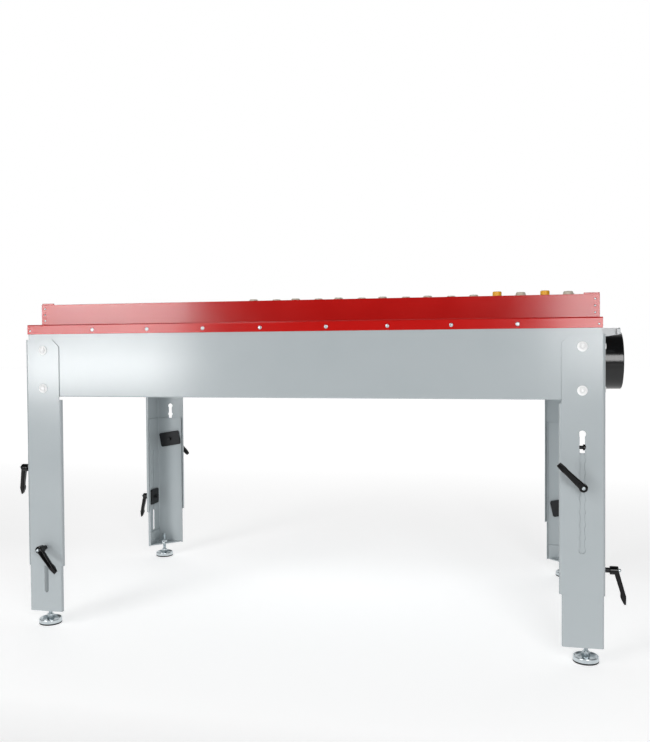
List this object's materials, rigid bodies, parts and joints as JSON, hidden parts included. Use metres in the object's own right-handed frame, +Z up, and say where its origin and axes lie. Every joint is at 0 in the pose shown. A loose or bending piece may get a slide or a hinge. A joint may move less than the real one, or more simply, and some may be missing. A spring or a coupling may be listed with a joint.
{
  "type": "downdraft sanding table",
  "caption": "Downdraft sanding table: grey suction trough with red rim, slotted grille with support studs, round exhaust spigot and telescopic sheet-steel legs with clamp levers.",
  "frame": {"origin": "on the ground, under the middle of the bounding box", "axes": "+X along the table towards the exhaust spigot, -Y the front, +Z up"},
  "size_m": [1.5542, 0.903, 0.8411],
  "materials": {
    "grey_powder_coat": "satin light grey powder coat on steel sheet",
    "red_powder_coat": "fine-textured glossy red powder coat on steel sheet",
    "galvanised_sheet": "galvanised steel sheet",
    "black_lever": "black moulded lever",
    "black_steel": "black oxide steel",
    "black_plastic": "satin black plastic",
    "zinc_plate": "bright zinc plate",
    "yellow_rubber": "yellow moulded rubber"
  },
  "bodies": {
    "table": {"end_bracket": "grey_powder_coat", "exhaust_spigot": "black_plastic", "grille": "galvanised_sheet", "grille_rail_left": "galvanised_sheet", "grille_rail_right": "galvanised_sheet", "leg_bolts_back_left_a": "zinc_plate", "leg_bolts_back_left_b": "zinc_plate", "leg_bolts_back_right_a": "zinc_plate", "leg_bolts_back_right_b": "zinc_plate", "leg_bolts_front_left_a": "zinc_plate", "leg_bolts_front_left_b": "zinc_plate", "leg_bolts_front_right_a": "zinc_plate", "leg_bolts_front_right_b": "zinc_plate", "outer_leg_back_left": "grey_powder_coat", "outer_leg_back_right": "grey_powder_coat", "outer_leg_front_left": "grey_powder_coat", "outer_leg_front_right": "grey_powder_coat", "rim_back": "red_powder_coat", "rim_front": "red_powder_coat", "rim_left_end": "red_powder_coat", "rim_right_end": "red_powder_coat", "slot_nut_plate_back_left": "black_steel", "slot_nut_plate_back_right": "black_steel", "slot_nut_plate_front_left": "black_steel", "slot_nut_plate_front_right": "black_steel", "soft_stud_1": "yellow_rubber", "soft_stud_2": "yellow_rubber", "trough_back": "grey_powder_coat", "trough_floor": "grey_powder_coat", "trough_front": "grey_powder_coat", "trough_left_end": "grey_powder_coat", "trough_right_end": "grey_powder_coat"},
    "leg_front_right": {"inner_leg_front_right": "grey_powder_coat", "notch_nut_plate_front_right": "black_steel", "lock_nut_front_right": "zinc_plate"},
    "notch_lever_front_right": {"notch_lever_front_right": "black_lever"},
    "slot_lever_front_right": {"slot_lever_front_right": "black_lever"},
    "foot_front_right": {"foot_pad_front_right": "zinc_plate"},
    "spindle_front_right": {"foot_spindle_front_right": "zinc_plate"},
    "leg_front_left": {"inner_leg_front_left": "grey_powder_coat", "notch_nut_plate_front_left": "black_steel", "lock_nut_front_left": "zinc_plate"},
    "notch_lever_front_left": {"notch_lever_front_left": "black_lever"},
    "slot_lever_front_left": {"slot_lever_front_left": "black_lever"},
    "foot_front_left": {"foot_pad_front_left": "zinc_plate"},
    "spindle_front_left": {"foot_spindle_front_left": "zinc_plate"},
    "leg_back_left": {"inner_leg_back_left": "grey_powder_coat", "notch_nut_plate_back_left": "black_steel", "lock_nut_back_left": "zinc_plate"},
    "notch_lever_back_left": {"notch_lever_back_left": "black_lever"},
    "slot_lever_back_left": {"slot_lever_back_left": "black_lever"},
    "foot_back_left": {"foot_pad_back_left": "zinc_plate"},
    "spindle_back_left": {"foot_spindle_back_left": "zinc_plate"},
    "leg_back_right": {"inner_leg_back_right": "grey_powder_coat", "notch_nut_plate_back_right": "black_steel", "lock_nut_back_right": "zinc_plate"},
    "notch_lever_back_right": {"notch_lever_back_right": "black_lever"},
    "slot_lever_back_right": {"slot_lever_back_right": "black_lever"},
    "foot_back_right": {"foot_pad_back_right": "zinc_plate"},
    "spindle_back_right": {"foot_spindle_back_right": "zinc_plate"}
  },
  "joints": [
    {"name": "leg_slide_front_right", "type": "slide", "parent": "table", "child": "leg_front_right", "axis": [0, 0, 1], "range_m": [-0.14, 0.086]},
    {"name": "notch_lever_turn_front_right", "type": "hinge", "parent": "leg_front_right", "child": "notch_lever_front_right", "pos_m": [0.64815, -0.4023, 0.4025], "axis": [0, -1, 0], "range_deg": [0, 180]},
    {"name": "slot_lever_turn_front_right", "type": "hinge", "parent": "table", "child": "slot_lever_front_right", "pos_m": [0.69715, -0.3533, 0.2065], "axis": [1, 0, 0], "range_deg": [0, 180]},
    {"name": "foot_slide_front_right", "type": "slide", "parent": "leg_front_right", "child": "foot_front_right", "axis": [0, 0, 1], "range_m": [-0.018, 0.014]},
    {"name": "spindle_turn_front_right", "type": "hinge", "parent": "foot_front_right", "child": "spindle_front_right", "pos_m": [0.65915, -0.3643, 0], "axis": [0, 0, 1], "range_deg": [-4330, 3370]},
    {"name": "leg_slide_front_left", "type": "slide", "parent": "table", "child": "leg_front_left", "axis": [0, 0, 1], "range_m": [-0.14, 0.086]},
    {"name": "notch_lever_turn_front_left", "type": "hinge", "parent": "leg_front_left", "child": "notch_lever_front_left", "pos_m": [-0.71585, -0.3533, 0.4025], "axis": [-1, 0, 0], "range_deg": [0, 180]},
    {"name": "slot_lever_turn_front_left", "type": "hinge", "parent": "table", "child": "slot_lever_front_left", "pos_m": [-0.66685, -0.4023, 0.2065], "axis": [0, -1, 0], "range_deg": [0, 180]},
    {"name": "foot_slide_front_left", "type": "slide", "parent": "leg_front_left", "child": "foot_front_left", "axis": [0, 0, 1], "range_m": [-0.018, 0.014]},
    {"name": "spindle_turn_front_left", "type": "hinge", "parent": "foot_front_left", "child": "spindle_front_left", "pos_m": [-0.67785, -0.3643, 0], "axis": [0, 0, 1], "range_deg": [-4330, 3370]},
    {"name": "leg_slide_back_left", "type": "slide", "parent": "table", "child": "leg_back_left", "axis": [0, 0, 1], "range_m": [-0.14, 0.086]},
    {"name": "notch_lever_turn_back_left", "type": "hinge", "parent": "leg_back_left", "child": "notch_lever_back_left", "pos_m": [-0.66685, 0.4023, 0.4025], "axis": [0, 1, 0], "range_deg": [0, 180]},
    {"name": "slot_lever_turn_back_left", "type": "hinge", "parent": "table", "child": "slot_lever_back_left", "pos_m": [-0.71585, 0.3533, 0.2065], "axis": [-1, 0, 0], "range_deg": [0, 180]},
    {"name": "foot_slide_back_left", "type": "slide", "parent": "leg_back_left", "child": "foot_back_left", "axis": [0, 0, 1], "range_m": [-0.018, 0.014]},
    {"name": "spindle_turn_back_left", "type": "hinge", "parent": "foot_back_left", "child": "spindle_back_left", "pos_m": [-0.67785, 0.3643, 0], "axis": [0, 0, 1], "range_deg": [-4330, 3370]},
    {"name": "leg_slide_back_right", "type": "slide", "parent": "table", "child": "leg_back_right", "axis": [0, 0, 1], "range_m": [-0.14, 0.086]},
    {"name": "notch_lever_turn_back_right", "type": "hinge", "parent": "leg_back_right", "child": "notch_lever_back_right", "pos_m": [0.69715, 0.3533, 0.4025], "axis": [1, 0, 0], "range_deg": [0, 180]},
    {"name": "slot_lever_turn_back_right", "type": "hinge", "parent": "table", "child": "slot_lever_back_right", "pos_m": [0.64815, 0.4023, 0.2065], "axis": [0, 1, 0], "range_deg": [0, 180]},
    {"name": "foot_slide_back_right", "type": "slide", "parent": "leg_back_right", "child": "foot_back_right", "axis": [0, 0, 1], "range_m": [-0.018, 0.014]},
    {"name": "spindle_turn_back_right", "type": "hinge", "parent": "foot_back_right", "child": "spindle_back_right", "pos_m": [0.65915, 0.3643, 0], "axis": [0, 0, 1], "range_deg": [-4330, 3370]}
  ],
  "couplings": [
    {"joint": "spindle_turn_front_right", "follows": "foot_slide_front_right", "rad_per_m": 4188.8},
    {"joint": "spindle_turn_front_left", "follows": "foot_slide_front_left", "rad_per_m": 4188.8},
    {"joint": "spindle_turn_back_left", "follows": "foot_slide_back_left", "rad_per_m": 4188.8},
    {"joint": "spindle_turn_back_right", "follows": "foot_slide_back_right", "rad_per_m": 4188.8}
  ]
}
